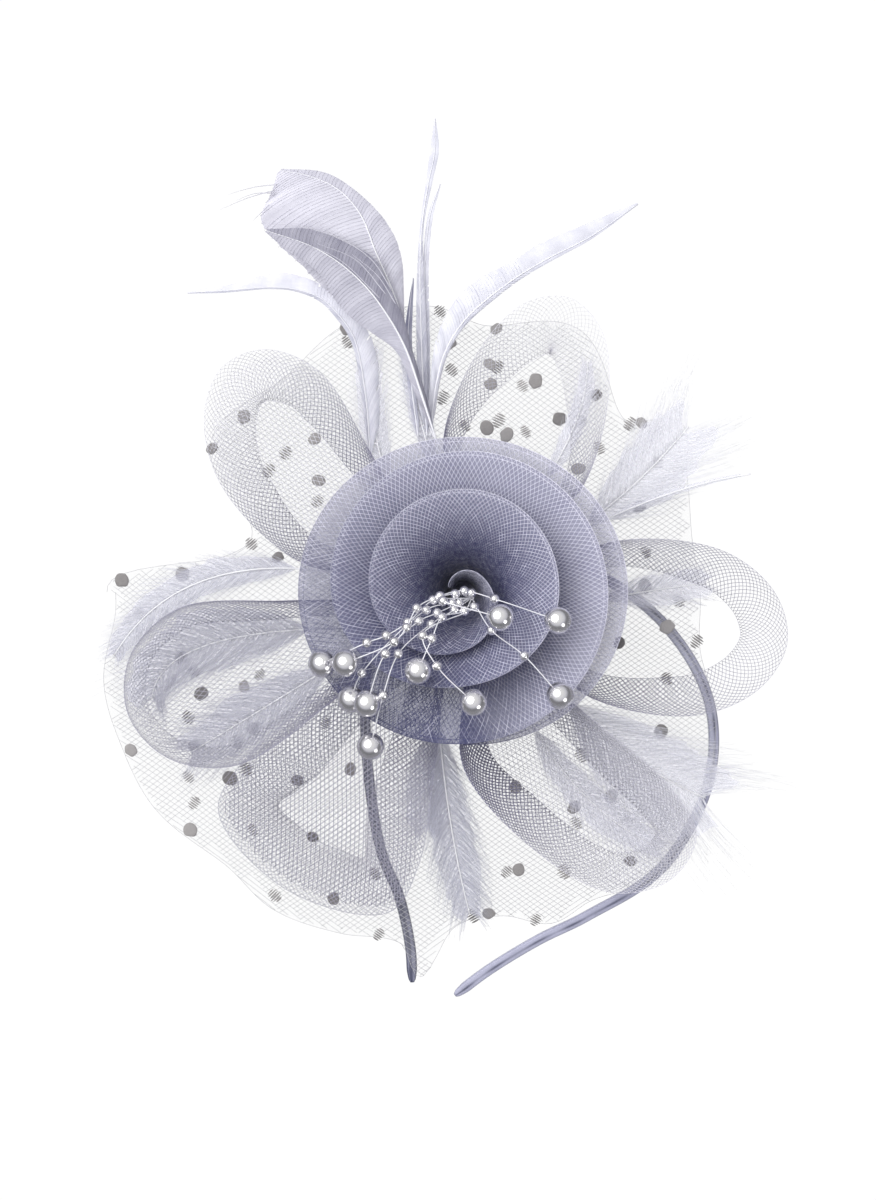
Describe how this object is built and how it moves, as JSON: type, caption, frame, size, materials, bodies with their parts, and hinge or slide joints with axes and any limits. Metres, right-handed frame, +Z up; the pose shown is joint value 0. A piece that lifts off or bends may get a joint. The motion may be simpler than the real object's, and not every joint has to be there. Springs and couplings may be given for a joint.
{
  "type": "fascinator",
  "caption": "Hair fascinator with a rolled mesh rose, ribbon loops, feathers, spotted net and a pearl spray on a thin headband.",
  "frame": {"origin": "middle of the whole piece in plan, on the surface that it lies on", "axes": "+Z up, the way the flower faces; +Y from the headband's tips to the long feathers"},
  "size_m": [0.2046, 0.2642, 0.064],
  "materials": {
    "satin": "satin ribbon",
    "felt": "felt",
    "net": "fine net with flocked dots",
    "rose_mesh": "woven horsehair mesh",
    "crin": "woven horsehair mesh",
    "wire": "white coated wire",
    "pearl": "pearl lustre",
    "goose_feather": "dyed goose feather",
    "plume_feather": "dyed feather"
  },
  "bodies": {
    "root": {"headband": "satin", "band_strap": "felt", "base_pad": "felt", "spotted_net": "net", "rose": "rose_mesh", "spray_stems": "wire", "loop_upper_left": "crin", "loop_upper_right": "crin", "loop_right": "crin", "loop_lower_right": "crin", "loop_lower_left": "crin", "loop_left": "crin", "goose_front": "goose_feather", "goose_back": "goose_feather", "hackle_upper_left": "plume_feather", "biot_upper_right": "plume_feather", "biot_top": "plume_feather", "biot_top_twin": "plume_feather", "biot_small": "plume_feather", "plume_top": "plume_feather", "plume_upper_left": "plume_feather", "plume_upper_right": "plume_feather", "spine_right_upper": "plume_feather", "plume_right_upper": "plume_feather", "spine_right": "plume_feather", "plume_lower_right": "plume_feather", "spine_lower_right": "plume_feather", "plume_bottom": "plume_feather", "plume_bottom_left": "plume_feather", "plume_left_upper": "plume_feather", "plume_left": "plume_feather", "plume_left_lower": "plume_feather", "pearl_01": "pearl", "pearl_02": "pearl", "pearl_03": "pearl", "pearl_04": "pearl", "pearl_05": "pearl", "pearl_06": "pearl", "pearl_07": "pearl", "pearl_08": "pearl", "pearl_09": "pearl", "pearl_10": "pearl"}
  },
  "joints": []
}
